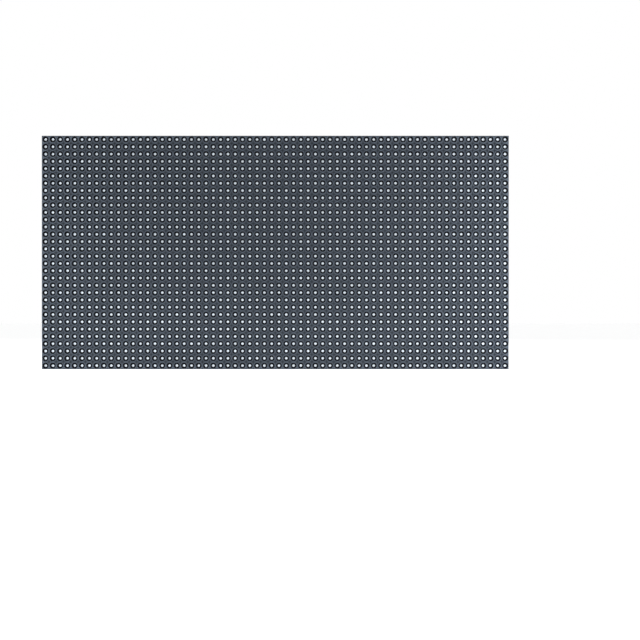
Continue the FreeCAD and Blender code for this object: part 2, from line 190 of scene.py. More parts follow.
def complete(piece, name, nodes=(), smooth=40):
    """Name a finished piece, fix it to the panel and let it stand for its solids."""
    piece.name = name
    piece.data.name = name
    bpy.ops.object.select_all(action="DESELECT")
    piece.select_set(True)
    bpy.context.view_layer.objects.active = piece
    bpy.ops.object.shade_smooth_by_angle(angle=math.radians(smooth))
    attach(piece, "root")
    if nodes:
        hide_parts(*nodes)
    piece.select_set(False)


board_lacquer = finish("board_lacquer", tone(38, 45, 59), mottle=0.1, mottle_mm=14, grain=0.25,
                       grain_mm=0.6, roughness=0.42, Specular_IOR_Level=0.15)
board_fibre = finish("board_fibre", tone(122, 112, 74), mottle=0.15, mottle_mm=1.2, grain=0.5,
                     grain_mm=0.3, roughness=0.7)
board = eased("circuit_board", 0)
dress(board, board_lacquer, board_fibre)
for face in board.data.polygons:
    face.material_index = 0 if abs(face.normal.y) > 0.9 else 1
complete(board, "board", ["circuit_board"], smooth=30)


# The lamps: one surface-mount lamp in each window, soldered to the front of the board. The body
# is black epoxy, and a white cup in its face holds three dies under clear resin.
pitch = 4.0 * MM
columns = 64
rows = 32
lamp_size = 2.1 * MM
lamp_height = 1.5 * MM
cup_radius = 0.71 * MM
cup_floor_radius = 0.58 * MM
cup_depth = 0.35 * MM
die_size = 0.2 * MM
die_height = 0.1 * MM
die_step = 0.36 * MM
first_x = -(columns - 1) * pitch / 2
first_z = pitch / 2
lamp_y = board_y - lamp_height
FACING_FRONT = (math.radians(90), 0, 0)


def start(operator, **details):
    """Start a new piece from a primitive, in the panel's own frame."""
    bpy.ops.object.select_all(action="DESELECT")
    operator(**details)
    bpy.ops.object.transform_apply(location=True, rotation=True, scale=True)
    return bpy.context.object


def pick(test, whole=True):
    """Select the edges, or the corners alone, of the piece in edit mode that pass the test."""
    mesh = bmesh.from_edit_mesh(bpy.context.object.data)
    if whole:
        for edge in mesh.edges:
            edge.select_set(all(test(corner.co) for corner in edge.verts))
    else:
        for corner in mesh.verts:
            corner.select_set(test(corner.co))
    mesh.select_flush(True)
    bmesh.update_edit_mesh(bpy.context.object.data)


def pick_rim(test):
    """Select the open edges of the piece in edit mode whose ends all pass the test."""
    mesh = bmesh.from_edit_mesh(bpy.context.object.data)
    for edge in mesh.edges:
        edge.select_set(edge.is_boundary and all(test(corner.co) for corner in edge.verts))
    bmesh.update_edit_mesh(bpy.context.object.data)


def at(y):
    """A test for corners that lie at one depth."""
    return lambda corner: abs(corner.y - y) < 0.001 * MM


def anywhere(corner):
    """A test that every corner passes."""
    return True


def square_loop(size, x, y, z, cuts=0):
    """Add a square outline to the piece in edit mode, with its sides divided."""
    near_side = 0.49 * size
    bpy.ops.mesh.primitive_plane_add(size=size, location=(x, y, z), rotation=FACING_FRONT)
    bpy.ops.mesh.delete(type="ONLY_FACE")
    if cuts:
        pick(lambda corner: at(y)(corner) and max(abs(corner.x - x), abs(corner.z - z)) > near_side)
        bpy.ops.mesh.subdivide(number_cuts=cuts)


def repeat(piece, count, step, merge=False):
    """Repeat a piece in a row."""
    return shaped(piece, "ARRAY", count=count, use_relative_offset=False, use_constant_offset=True,
                  constant_offset_displace=step, use_merge_vertices=merge, merge_threshold=0.01 * MM)


def slab(x0, x1, y0, y1, z0, z1, free_y=None, share=0.9):
    """A slab between two corners. Its free face, if it has one, is drawn in, so that its sides slope."""
    middle = ((x0 + x1) / 2, (y0 + y1) / 2, (z0 + z1) / 2)
    block = start(bpy.ops.mesh.primitive_cube_add, size=1, scale=(x1 - x0, y1 - y0, z1 - z0), location=middle)
    if free_y is not None:
        edit(block)
        pick(at(free_y))
        bpy.ops.transform.resize(value=(share, 1, share), center_override=middle)
        done()
    return block


def tinted(material, shares):
    """Let a finish differ a little from lamp to lamp, between two shares of its colour."""
    nodes = material.node_tree.nodes
    links = material.node_tree.links
    lamp_place = nodes.new("ShaderNodeVectorMath")
    lamp_place.operation = "SNAP"
    lamp_place.inputs[1].default_value = (pitch, 1, pitch)
    links.new(nodes["Texture Coordinate"].outputs["Object"], lamp_place.inputs[0])
    chance = nodes.new("ShaderNodeTexWhiteNoise")
    links.new(lamp_place.outputs[0], chance.inputs["Vector"])
    share = nodes.new("ShaderNodeMapRange")
    share.inputs["To Min"].default_value = shares[0]
    share.inputs["To Max"].default_value = shares[1]
    links.new(chance.outputs["Value"], share.inputs["Value"])
    tint = nodes.new("ShaderNodeVectorMath")
    tint.operation = "SCALE"
    links.new(nodes["shades"].outputs[2], tint.inputs[0])
    links.new(share.outputs[0], tint.inputs["Scale"])
    links.new(tint.outputs[0], nodes["Principled BSDF"].inputs["Base Color"])
    return material


lamp_middle = (first_x, lamp_y, first_z)
lamps = start(bpy.ops.mesh.primitive_circle_add, vertices=12, radius=cup_radius, fill_type="NOTHING",
              location=lamp_middle, rotation=FACING_FRONT)
edit(lamps)
bpy.ops.mesh.extrude_edges_move(TRANSFORM_OT_translate={"value": (0, cup_depth, 0)})
cup_taper = cup_floor_radius / cup_radius
bpy.ops.transform.resize(value=(cup_taper, 1, cup_taper), center_override=lamp_middle)
bpy.ops.mesh.edge_face_add()
square_loop(lamp_size, *lamp_middle)
pick(at(lamp_y))
bpy.ops.mesh.fill()
pick_rim(anywhere)
bpy.ops.mesh.extrude_edges_move(TRANSFORM_OT_translate={"value": (0, lamp_height, 0)})
bpy.ops.mesh.edge_face_add()
done()
lamp_epoxy = finish("lamp_epoxy", tone(8, 9, 12), mottle=0.05, grain=0.15, grain_mm=0.12, roughness=0.6,
                    Specular_IOR_Level=0.05)
lamp_cup = tinted(finish("lamp_cup", tone(230, 239, 250), mottle=0.02, mottle_mm=9, grain=0.08,
                         roughness=0.4), (0.9, 1.0))
dress(lamps, lamp_epoxy, lamp_cup)
for face in lamps.data.polygons:
    reach = max(math.hypot(lamps.data.vertices[i].co.x - first_x, lamps.data.vertices[i].co.z - first_z)
                for i in face.vertices)
    face.material_index = 1 if reach < cup_radius * 1.01 else 0
weld(lamps)
repeat(lamps, columns, (pitch, 0, 0))
repeat(lamps, rows, (0, 0, pitch))
complete(lamps, "lamps", ["lamp_rows"])

die_y = lamp_y + cup_depth
dies = slab(first_x - die_size / 2, first_x + die_size / 2, die_y - die_height, die_y,
            first_z - die_step - die_size / 2, first_z - die_step + die_size / 2,
            free_y=die_y - die_height, share=0.8)
repeat(dies, 3, (0, 0, die_step))
repeat(dies, columns, (pitch, 0, 0))
repeat(dies, rows, (0, 0, pitch))
dress(dies, finish("lamp_dies", tone(196, 190, 160), mottle=0.1, mottle_mm=0.3, roughness=0.35))
complete(dies, "lamp_dies")


# The front mask: one black moulding with a round window for each lamp, chamfered at its mouth. The
# face is sunk a little between two windows and dips where four meet, its outer edge slopes, and pins
# on its back go through holes in the board.
mouth_radius = 1.78 * MM
window_radius = 1.68 * MM
window_chamfer = 0.15 * MM
window_back_radius = 1.62 * MM
dip_depth = 0.4 * MM
web_depth = 0.06 * MM
edge_depth = 0.16 * MM
height = mask_high.z
middle_z = height / 2
FACING_REAR = (math.radians(-90), 0, 0)
cell_middle = (first_x, face_y, first_z)
front_mask = start(bpy.ops.mesh.primitive_circle_add, vertices=16, radius=mouth_radius, fill_type="NOTHING",
                   location=cell_middle, rotation=FACING_FRONT)
edit(front_mask)
bpy.ops.mesh.extrude_edges_move(TRANSFORM_OT_translate={"value": (0, window_chamfer, 0)})
mouth_taper = window_radius / mouth_radius
bpy.ops.transform.resize(value=(mouth_taper, 1, mouth_taper), center_override=cell_middle)
bpy.ops.mesh.primitive_circle_add(vertices=8, radius=window_back_radius, fill_type="NOTHING",
                                  location=(first_x, board_y, first_z), rotation=FACING_FRONT)
pick(lambda corner: corner.y > face_y + window_chamfer / 2)
bpy.ops.mesh.bridge_edge_loops()
for y in (face_y, board_y):
    square_loop(pitch, first_x, y, first_z, cuts=1)
    pick(at(y))
    bpy.ops.mesh.fill()
done()
repeat(front_mask, columns, (pitch, 0, 0), merge=True)
repeat(front_mask, rows, (0, 0, pitch), merge=True)
edit(front_mask)
pick_rim(at(face_y))
bpy.ops.mesh.extrude_edges_move(TRANSFORM_OT_translate={"value": (0, board_y - face_y, 0)})
done()
weld(front_mask)
outside_grid = 9


def off_grid(corner):
    """How far a corner of the mask's face lies from where four windows meet, in lamp pitches."""
    across = corner.x / pitch
    up = corner.z / pitch
    inside = abs(corner.x) < mask_high.x - MM and MM < corner.z < height - MM
    if not (inside and at(face_y)(corner)):
        return outside_grid
    return abs(across - round(across)) + abs(up - round(up))


def on_outer_edge(corner):
    """Whether a corner of the mask's face lies on its outer edge."""
    edge = 0.1 * MM
    outer = abs(corner.x) > mask_high.x - edge or min(corner.z, height - corner.z) < edge
    return outer and at(face_y)(corner) and off_grid(corner) == outside_grid


edit(front_mask, "VERT")
for distance, sunk in ((0, dip_depth), (0.5, web_depth)):
    pick(lambda corner: abs(off_grid(corner) - distance) < 0.01, whole=False)
    bpy.ops.transform.translate(value=(0, sunk, 0))
pick(on_outer_edge, whole=False)
bpy.ops.transform.translate(value=(0, edge_depth, 0))
done()


def turned(profile, x=0.0, z=0.0, vertices=32, hollow=False):
    """A round piece along the depth of the panel, from its outline of (radius, depth) places."""
    radius, y = profile[0]
    piece = start(bpy.ops.mesh.primitive_circle_add, vertices=vertices, radius=radius, fill_type="NOTHING",
                  location=(x, y, z), rotation=FACING_REAR)
    edit(piece)
    for next_radius, next_y in profile[1:]:
        bpy.ops.mesh.extrude_edges_move(TRANSFORM_OT_translate={"value": (0, next_y - y, 0)})
        share = next_radius / radius
        bpy.ops.transform.resize(value=(share, 1, share), center_override=(x, next_y, z))
        radius, y = next_radius, next_y
    if not hollow:
        bpy.ops.mesh.select_all(action="SELECT")
        bpy.ops.mesh.fill_holes(sides=0)
    done()
    weld(piece)
    return piece


def join(pieces):
    """Make one piece of several."""
    bpy.ops.object.select_all(action="DESELECT")
    for piece in pieces:
        piece.select_set(True)
    bpy.context.view_layer.objects.active = pieces[0]
    if len(pieces) > 1:
        bpy.ops.object.join()
    return pieces[0]


def copied(piece, x, z, turn=0.0):
    """A copy of a piece with a mesh of its own, turned about the depth axis and moved along the board."""
    copy = piece.copy()
    copy.data = piece.data.copy()
    bpy.context.scene.collection.objects.link(copy)
    copy.data.transform(Matrix.Translation((x, 0, z)) @ Matrix.Rotation(turn, 4, "Y"))
    return copy


pin_radius = 0.5 * MM
pin_root = 0.3 * MM
pin_chamfer = 0.12 * MM
pin_columns = (9, 16, 23)
pin_rows = (-7, 0, 7)
pin_places = [(side * column * pitch, middle_z + row * pitch)
              for column in pin_columns for row in pin_rows for side in (-1, 1)]
mask_pin = turned([(pin_radius, board_y - pin_root), (pin_radius, rear_y - pin_chamfer),
                   (pin_radius - pin_chamfer, rear_y)], vertices=16)
mask_pins = [copied(mask_pin, x, z) for x, z in pin_places]
bpy.data.objects.remove(mask_pin)
front_mask = join([front_mask] + mask_pins)
mask_face = finish("mask_face", tone(101, 111, 124), mottle=0.05, mottle_mm=30, grain=0.35, grain_mm=0.18,
                   roughness=0.6, Specular_IOR_Level=0.12)
# Painted shade: the window walls, the back and the sides take a near-black copy of the mask's plastic, far
# darker than its face, so that the windows read as shaded.
mask_wall_painted_shade = finish("mask_wall_painted_shade", tone(8, 9, 12), mottle=0.05, mottle_mm=30, grain=0.1, roughness=0.5,
                   Specular_IOR_Level=0.05)
dress(front_mask, mask_face, mask_wall_painted_shade)
steepest = 0.3
mesh = front_mask.data
for face in mesh.polygons:
    front_y = min(mesh.vertices[i].co.y for i in face.vertices)
    on_face = front_y < face_y + window_chamfer / 2 and abs(face.normal.y) > steepest
    face.material_index = 0 if on_face else 1
# Painted shade: the face's colour is darkened the deeper it lies. The sunk webs, the window mouths and the
# sloping outer edge are a little darker, and the dips where four windows meet are darkest.
shade_at_face = 1.0
painted_shade_in_dip = 0.12
painted_shade_between = ((0.1, 0.72), (0.22, 0.45), (0.5, 0.3))
nodes = mask_face.node_tree.nodes
links = mask_face.node_tree.links
depth = nodes.new("ShaderNodeSeparateXYZ")
links.new(nodes["Texture Coordinate"].outputs["Object"], depth.inputs[0])
sunk = nodes.new("ShaderNodeMapRange")
sunk.inputs["From Min"].default_value = face_y
sunk.inputs["From Max"].default_value = face_y + dip_depth
links.new(depth.outputs["Y"], sunk.inputs["Value"])
painted_shade_ramp = nodes.new("ShaderNodeValToRGB")
ramp = painted_shade_ramp.color_ramp.elements
ramp[0].color = (shade_at_face, shade_at_face, shade_at_face, 1)
ramp[1].color = (painted_shade_in_dip, painted_shade_in_dip, painted_shade_in_dip, 1)
for place, share in painted_shade_between:
    ramp.new(place).color = (share, share, share, 1)
links.new(sunk.outputs[0], painted_shade_ramp.inputs["Fac"])
tint = nodes.new("ShaderNodeVectorMath")
tint.operation = "MULTIPLY"
links.new(nodes["shades"].outputs[2], tint.inputs[0])
links.new(painted_shade_ramp.outputs["Color"], tint.inputs[1])
links.new(tint.outputs[0], nodes["Principled BSDF"].inputs["Base Color"])
complete(front_mask, "mask", ["front_mask"], smooth=35)


# The rear frame is one charcoal moulding with a lightly textured skin. The board lies on its floor,
# and its ribs, bosses and two pegs face the cabinet.
frame_plastic = finish("frame_plastic", tone(50, 55, 58), mottle=0.1, mottle_mm=20, grain=0.6,
                       grain_mm=0.35, roughness=0.5, Specular_IOR_Level=0.2)
frame_edge = 0.2 * MM
rear_frame = eased("rear_frame", frame_edge)
dress(rear_frame, frame_plastic)
complete(rear_frame, "frame", ["rear_frame"], smooth=30)


# The frame's metal: six brass inserts moulded into the bosses, with a thread in each bore, and the
# steel screws that hold the board, hidden under the mask.
insert_inset = 7.5 * MM
insert_radius = 2.4 * MM
insert_length = 5.5 * MM
thread_crest = 1.25 * MM
thread_root = 1.5 * MM
thread_pitch = 0.5 * MM
thread_turns = 9
foot_wall = 0.05 * MM
rim_wall = 0.2 * MM
rim_chamfer = 0.1 * MM
lead_in = 0.3 * MM
rim_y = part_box("threaded_inserts")[1].y
sleeve = [
    (thread_crest + foot_wall, rim_y - insert_length),
    (insert_radius, rim_y - insert_length),
    (insert_radius, rim_y - rim_chamfer),
    (insert_radius - rim_chamfer, rim_y),
    (thread_root + rim_wall, rim_y),
    (thread_root, rim_y - lead_in),
]
for turn in range(thread_turns):
    y = rim_y - lead_in - (turn + 0.5) * thread_pitch
    sleeve.append((thread_crest, y))
    sleeve.append((thread_root, y - thread_pitch / 2))
sleeve.append(sleeve[0])
insert = turned(sleeve, vertices=24, hollow=True)
insert_x = mask_high.x - insert_inset
insert_places = [(side * insert_x, z) for side in (-1, 1, 0) for z in (insert_inset, height - insert_inset)]
inserts = join([copied(insert, x, z) for x, z in insert_places])
bpy.data.objects.remove(insert)
dress(inserts, finish("insert_brass", tone(224, 212, 166), mottle=0.12, mottle_mm=1.5, grain=0.3,
                      grain_mm=0.12, roughness=0.32, Metallic=1.0))
complete(inserts, "inserts", ["threaded_inserts"], smooth=25)
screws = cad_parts["board_screws"]
dress(screws, finish("screw_steel", tone(170, 170, 172), grain=0.1, roughness=0.35, Metallic=1.0))


# Bare copper rings: the board's ground contact at its two lower corners, a plated hole with a wide
# ring round it, stopped with resin on the lamp side. The copper has dulled to brown.
ring_low, ring_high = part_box("copper_rings")
ring_radius = (ring_high.z - ring_low.z) / 2
ring_z = (ring_high.z + ring_low.z) / 2
ring_x = ring_high.x - ring_radius
ring_hole = 1.1 * MM
ring_round = 0.08 * MM
ring_bulge = 0.03 * MM
hole_round = 0.1 * MM
hole_sink = 0.04 * MM
ring_profile = [
    (ring_hole, ring_low.y),
    (ring_radius, ring_low.y),
    (ring_radius, ring_high.y),
    (ring_radius - ring_round, ring_high.y + ring_bulge),
    (ring_hole + hole_round, ring_high.y + ring_bulge),
    (ring_hole, ring_high.y - hole_sink),
    (ring_hole, ring_low.y),
]
bare_copper = finish("bare_copper", tone(124, 78, 55), mottle=0.3, mottle_mm=1.2, grain=0.3, grain_mm=0.2,
                     roughness=0.42, Metallic=0.9)
plug_depth = 0.5 * MM


def post(radius, x, z, y0, y1, vertices=24):
    """A round post along the depth of the panel."""
    return start(bpy.ops.mesh.primitive_cylinder_add, vertices=vertices, radius=radius, depth=y1 - y0,
                 location=(x, (y0 + y1) / 2, z), rotation=FACING_REAR)


rings = []
for side in (-1, 1):
    rings.append(turned(ring_profile, side * ring_x, ring_z, hollow=True))
    dress(rings[-1], bare_copper)
    rings.append(post(ring_hole, side * ring_x, ring_z, board_y, board_y + plug_depth))
    dress(rings[-1], board_lacquer)
complete(join(rings), "rings", ["copper_rings"], smooth=25)


# The lamp drivers: four columns of six small chips in moulded epoxy, each with twelve tinned leads a
# side on solder pads, and a dimple by its first lead.
MIDDLE = (0, rear_y, 0)
chip_standoff = 0.1 * MM
chip_height = 1.5 * MM
chip_draft = 0.2 * MM
chip_edge = 0.08 * MM
dimple_radius = 0.3 * MM
dimple_depth = 0.06 * MM
lead_thickness = 0.2 * MM
lead_shoulder = 0.35 * MM
lead_foot = 0.6 * MM
lead_bend = ((0.3, 0.15), (0.4, 0.7), (0.3, 0.15))  # shares of its run and drop
pad_height = 0.03 * MM
lead_tin = finish("lead_tin", tone(168, 171, 176), mottle=0.08, mottle_mm=0.8, grain=0.2, roughness=0.38,
                  Metallic=0.85)
solder = finish("solder", tone(164, 167, 172), mottle=0.12, mottle_mm=0.7, grain=0.3, grain_mm=0.15,
                roughness=0.3, Metallic=0.8)
chip_epoxy = finish("chip_epoxy", tone(58, 62, 64), mottle=0.12, mottle_mm=1.6, grain=0.5, grain_mm=0.1,
                    roughness=0.55, Specular_IOR_Level=0.2)


def chip_body(x_size, z_size, mark_x, mark_z):
    """A moulded body, widest half-way up where the mould parts, with a dimple by the first lead."""
    low_y = rear_y + chip_standoff
    small = (x_size - 2 * chip_draft, 1, z_size - 2 * chip_draft)
    body = start(bpy.ops.mesh.primitive_plane_add, size=1, location=(0, low_y, 0), rotation=FACING_REAR)
    edit(body, "FACE")
    bpy.ops.transform.resize(value=small, center_override=MIDDLE)
    grown = (x_size / small[0], 1, z_size / small[2])
    for scale in (grown, [1 / share for share in grown]):
        bpy.ops.mesh.extrude_region_move(TRANSFORM_OT_translate={"value": (0, chip_height / 2, 0)})
        bpy.ops.transform.resize(value=scale, center_override=MIDDLE)
    done()
    weld(body)
    shaped(body, "BEVEL", width=chip_edge, segments=1, limit_method="ANGLE", angle_limit=math.radians(50))
    top_y = low_y + chip_height
    dimple = post(dimple_radius, mark_x, mark_z, top_y - dimple_depth, top_y + chip_height, vertices=12)
    shaped(body, "BOOLEAN", operation="DIFFERENCE", object=dimple)
    bpy.data.objects.remove(dimple)
    dress(body, chip_epoxy)
    return body


def both_sides(row):
    """A row and its twin, turned to the other long side of a chip."""
    return join([row, copied(row, 0, 0, math.pi)])


def leads(body_half, span_half, count, step, width):
    """Tinned leads on both long sides: strips bent down from half-way up the body to the board."""
    exit_y = rear_y + chip_standoff + chip_height / 2
    foot_y = rear_y + lead_thickness / 2
    root_x = body_half - chip_draft
    knee_x = body_half + lead_shoulder
    lead = start(bpy.ops.mesh.primitive_plane_add, size=1, location=(0, exit_y, 0), rotation=FACING_REAR)
    edit(lead)
    bpy.ops.transform.resize(value=(knee_x - root_x, 1, width), center_override=MIDDLE)
    bpy.ops.transform.translate(value=((root_x + knee_x) / 2, 0, -(count - 1) * step / 2))
    pick(lambda corner: corner.x > knee_x - 0.01 * MM)
    run = span_half - lead_foot - knee_x
    drop = exit_y - foot_y
    for share_x, share_y in lead_bend:
        bpy.ops.mesh.extrude_edges_move(TRANSFORM_OT_translate={"value": (run * share_x, -drop * share_y, 0)})
    bpy.ops.mesh.extrude_edges_move(TRANSFORM_OT_translate={"value": (lead_foot, 0, 0)})
    done()
    shaped(lead, "SOLIDIFY", thickness=lead_thickness, offset=0, use_even_offset=True)
    repeat(lead, count, (0, 0, step))
    dress(lead, lead_tin)
    return both_sides(lead)


def pads(inner, outer, count, step, width):
    """Solder pads under the leads of both long sides."""
    first = -(count - 1) * step / 2
    pad = slab(inner, outer, rear_y - pad_height, rear_y + pad_height, first - width / 2, first + width / 2,
               free_y=rear_y + pad_height)
    repeat(pad, count, (0, 0, step))
    dress(pad, solder)
    return both_sides(pad)


driver_width = 3.9 * MM
driver_length = 8.65 * MM
driver_mark = (-1.35 * MM, 3.7 * MM)
driver_reach = 3.0 * MM
driver_leads = 12
driver_lead_pitch = 0.635 * MM
driver_lead_width = 0.3 * MM
driver_pad_ends = (2.35 * MM, 3.65 * MM)
driver_pad_width = 0.36 * MM
driver_chip = join([
    chip_body(driver_width, driver_length, *driver_mark),
    leads(driver_width / 2, driver_reach, driver_leads, driver_lead_pitch, driver_lead_width),
])
pad_set = pads(*driver_pad_ends, driver_leads, driver_lead_pitch, driver_pad_width)
driver_places = []
solder_spots = []
for column in range(1, 5):
    for row in range(1, 7):
        node = "driver_chip_%d_%d" % (column, row)
        low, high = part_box(node)
        x = (low.x + high.x) / 2
        z = (low.z + high.z) / 2
        driver_places.append((x, z))
        complete(copied(driver_chip, x, z), "driver_%d_%d" % (column, row), [node], smooth=30)
        solder_spots.append(copied(pad_set, x, z))
bpy.data.objects.remove(driver_chip)
bpy.data.objects.remove(pad_set)


# Chip capacitors above the drivers, and a chip resistor beside each driver: fired ceramic blocks
# with tinned ends, soldered flat on the board.
end_edge = 0.06 * MM
ceramic = finish("capacitor_ceramic", tone(92, 80, 66), mottle=0.1, mottle_mm=1, grain=0.2, roughness=0.45)
resistor_film = finish("resistor_film", tone(30, 31, 34), mottle=0.08, mottle_mm=1, grain=0.2, roughness=0.35)


def chip_part(x_size, z_size, y_size, cap, skin):
    """A ceramic block along X at the panel's origin, with its two tinned ends."""
    slim = 0.03 * MM
    block = slab(-x_size / 2 + cap / 2, x_size / 2 - cap / 2, rear_y + slim, rear_y + y_size - slim,
                 -z_size / 2 + slim, z_size / 2 - slim)
    dress(block, skin)
    ends = []
    for side in (-1, 1):
        middle = side * (x_size - cap) / 2
        end = slab(middle - cap / 2, middle + cap / 2, rear_y, rear_y + y_size, -z_size / 2, z_size / 2)
        shaped(end, "BEVEL", width=end_edge, segments=1, limit_method="ANGLE")
        dress(end, lead_tin)
        ends.append(end)
    return join([block] + ends)


bypass_low, bypass_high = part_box("bypass_capacitors_1")
bypass_depth = 0.9 * MM
bypass_end = 0.7 * MM
bypass = chip_part(bypass_high.x - bypass_low.x, bypass_depth, bypass_high.y - rear_y, bypass_end, ceramic)
top_driver_z = driver_places[5][1]
bypass_rise = bypass_high.z - bypass_depth / 2 - top_driver_z
for column in range(4):
    blocks = [copied(bypass, x, z + bypass_rise) for x, z in driver_places[6 * column:6 * column + 6]]
    complete(join(blocks), "bypass_row_%d" % (column + 1),
             ["bypass_capacitors_%d" % (column + 1)])
bpy.data.objects.remove(bypass)
resistor_size = (1.6 * MM, 0.8 * MM, 0.45 * MM)
resistor_end = 0.35 * MM
resistor_offset = (-7.0 * MM, 2.6 * MM)
resistor = chip_part(*resistor_size, resistor_end, resistor_film)
resistor_places = [(x + resistor_offset[0], z + resistor_offset[1]) for x, z in driver_places]
resistors = join([copied(resistor, x, z) for x, z in resistor_places])
bpy.data.objects.remove(resistor)
complete(resistors, "resistors")


# Buffer chips for the incoming data lie along X, and row switch chips stand along Z. They are made
# as the drivers are, with wider leads at 1.27 mm.
wide_pitch = 1.27 * MM
wide_lead = 0.42 * MM
wide_pad = wide_lead + 0.15 * MM
pad_inset = 0.75 * MM
pad_outset = 0.6 * MM
mark_inset = 0.8 * MM
groups = (  # kind, width, length, span over the leads, leads a side, turn on the board
    ("buffer", 5.3 * MM, 10.2 * MM, 7.8 * MM, 8, math.radians(90)),
    ("switch", 3.9 * MM, 6.4 * MM, 6.0 * MM, 5, 0.0),
)
buffer_places = []
for kind, body_width, body_length, span, count, turn in groups:
    pattern = join([
        chip_body(body_width, body_length, -body_width / 2 + mark_inset, body_length / 2 - mark_inset),
        leads(body_width / 2, span / 2, count, wide_pitch, wide_lead),
    ])
    pad_set = pads(span / 2 - pad_inset, span / 2 + pad_outset, count, wide_pitch, wide_pad)
    for number in (1, 2):
        node = "%s_chip_%d" % (kind, number)
        low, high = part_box(node)
        x = (low.x + high.x) / 2
        z = (low.z + high.z) / 2
        if kind == "buffer":
            buffer_places.append((x, z))
        complete(copied(pattern, x, z, turn), "%s_%d" % (kind, number), [node], smooth=30)
        solder_spots.append(copied(pad_set, x, z, turn))
    bpy.data.objects.remove(pattern)
    bpy.data.objects.remove(pad_set)


# Two can capacitors smooth the supply: an aluminium can, crimped over its seal, with one edge of the
# top printed black, on a moulded base whose two leads end in solder tabs.
header_plastic = finish("header_plastic", tone(27, 29, 30), mottle=0.1, mottle_mm=4, grain=0.3, grain_mm=0.2,
                        roughness=0.42, Specular_IOR_Level=0.25)
can_aluminium = finish("can_aluminium", tone(176, 179, 184), mottle=0.05, mottle_mm=2, grain=0.15,
                       grain_mm=0.1, roughness=0.3, Metallic=0.9)
can_print = finish("can_print", tone(20, 21, 24), mottle=0.05, roughness=0.4)
base_edge = 0.12 * MM
crimp_rise = 1.2 * MM
crimp_half = 0.35 * MM
crimp_groove = (0.2 * MM, 0.12 * MM)
print_share = 0.5
print_depth = 0.12 * MM
tab_root = 0.5 * MM
tab_length = 1.7 * MM
tab_half_width = 0.75 * MM
tab_height = 0.15 * MM
can_places = []
for name in ("upper", "lower"):
    low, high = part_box(name + "_capacitor_can")
    radius = (high.x - low.x) / 2
    x = (low.x + high.x) / 2
    z = (low.z + high.z) / 2
    can_places.append((x, z))
    top_y = high.y
    crimp_y = low.y + crimp_rise
    groove_radius = radius - crimp_groove[0]
    outline = [
        (radius - 0.3 * MM, low.y),
        (radius, low.y + 0.25 * MM),
        (radius, crimp_y - crimp_half),
        (groove_radius, crimp_y - crimp_groove[1]),
        (groove_radius, crimp_y + crimp_groove[1]),
        (radius, crimp_y + crimp_half),
        (radius, top_y - 0.35 * MM),
        (radius - 0.1 * MM, top_y - 0.1 * MM),
        (radius - 0.35 * MM, top_y),
        (radius - 0.5 * MM, top_y - 0.05 * MM),
    ]
    can = turned(outline, x, z, vertices=48)
    print_x = x + print_share * radius
    edit(can, "FACE")
    bpy.ops.mesh.bisect(plane_co=(print_x, 0, 0), plane_no=(1, 0, 0))
    done()
    dress(can, can_aluminium, can_print)
    for face in can.data.polygons:
        printed = face.center.y > top_y - print_depth and face.center.x > print_x
        face.material_index = 1 if printed else 0
    complete(can, name + "_can", [name + "_capacitor_can"], smooth=35)
    base = eased(name + "_capacitor_base", base_edge)
    dress(base, header_plastic)
    base_low, base_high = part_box(name + "_capacitor_base")
    tabs = []
    for edge_x, outward in ((base_low.x, -1), (base_high.x, 1)):
        ends = sorted((edge_x - outward * tab_root, edge_x + outward * tab_length))
        tab = slab(*ends, rear_y - pad_height, rear_y + tab_height, z - tab_half_width, z + tab_half_width)
        shaped(tab, "BEVEL", width=end_edge, segments=1, limit_method="ANGLE")
        dress(tab, solder)
        tabs.append(tab)
    base = join([base] + tabs)
    complete(base, name + "_base", [name + "_capacitor_base"], smooth=30)


# Data headers, in and out: a shroud moulded in black plastic, with a key slot in one long wall, and
# sixteen gold-plated square pins that stand in its floor and are soldered through the board.
gilt = finish("gilt_pins", tone(240, 222, 170), mottle=0.06, mottle_mm=1, grain=0.1, roughness=0.25,
              Metallic=1.0)
shroud_edge = 0.15 * MM
for name in ("input", "output"):
    shroud = eased(name + "_header_shroud", shroud_edge)
    dress(shroud, header_plastic)
    complete(shroud, name + "_shroud", [name + "_header_shroud"], smooth=30)
    dress(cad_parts[name + "_header_pins"], gilt)


# The power header: a moulded housing with a lock wall, and four tinned brass pins whose feet are
# soldered to the board in front of it.
housing_edge = 0.2 * MM
housing = eased("power_header_housing", housing_edge)
dress(housing, header_plastic)
complete(housing, "power_housing", ["power_header_housing"], smooth=30)
power_tin = finish("tinned_brass", tone(196, 191, 174), mottle=0.1, mottle_mm=1.2, grain=0.2, roughness=0.32,
                   Metallic=0.85)
dress(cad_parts["power_header_pins"], power_tin)


# The board's print is white ink, one coat thick: rings round the mask's pins, outlines of the parts,
# arrows for the way of the data, plus and minus at the power header, a blank field, and a comb beside
# each data header. Solder stands in the combs' plated holes and on the bare pads.
ink_height = 0.025 * MM


def flat(x0, x1, z0, z1):
    """A flat printed rectangle on the board, between two corners in either order."""
    piece = start(bpy.ops.mesh.primitive_plane_add, size=1, location=(0, rear_y, 0), rotation=FACING_REAR)
    edit(piece, "FACE")
    bpy.ops.transform.resize(value=(abs(x1 - x0), 1, abs(z1 - z0)), center_override=MIDDLE)
    bpy.ops.transform.translate(value=((x0 + x1) / 2, 0, (z0 + z1) / 2))
    done()
    return piece


def outline_box(x, z, x_size, z_size, thickness, corner=0.0, cuts=2):
    """A printed outline round a part, its corners cut or rounded."""
    piece = flat(x - x_size / 2, x + x_size / 2, z - z_size / 2, z + z_size / 2)
    edit(piece, "VERT")
    if corner:
        bpy.ops.mesh.bevel(offset=corner, segments=cuts, affect="VERTICES")
    bpy.ops.mesh.select_mode(type="FACE")
    bpy.ops.mesh.select_all(action="SELECT")
    bpy.ops.mesh.inset(thickness=thickness)
    bpy.ops.mesh.delete(type="FACE")
    done()
    return piece


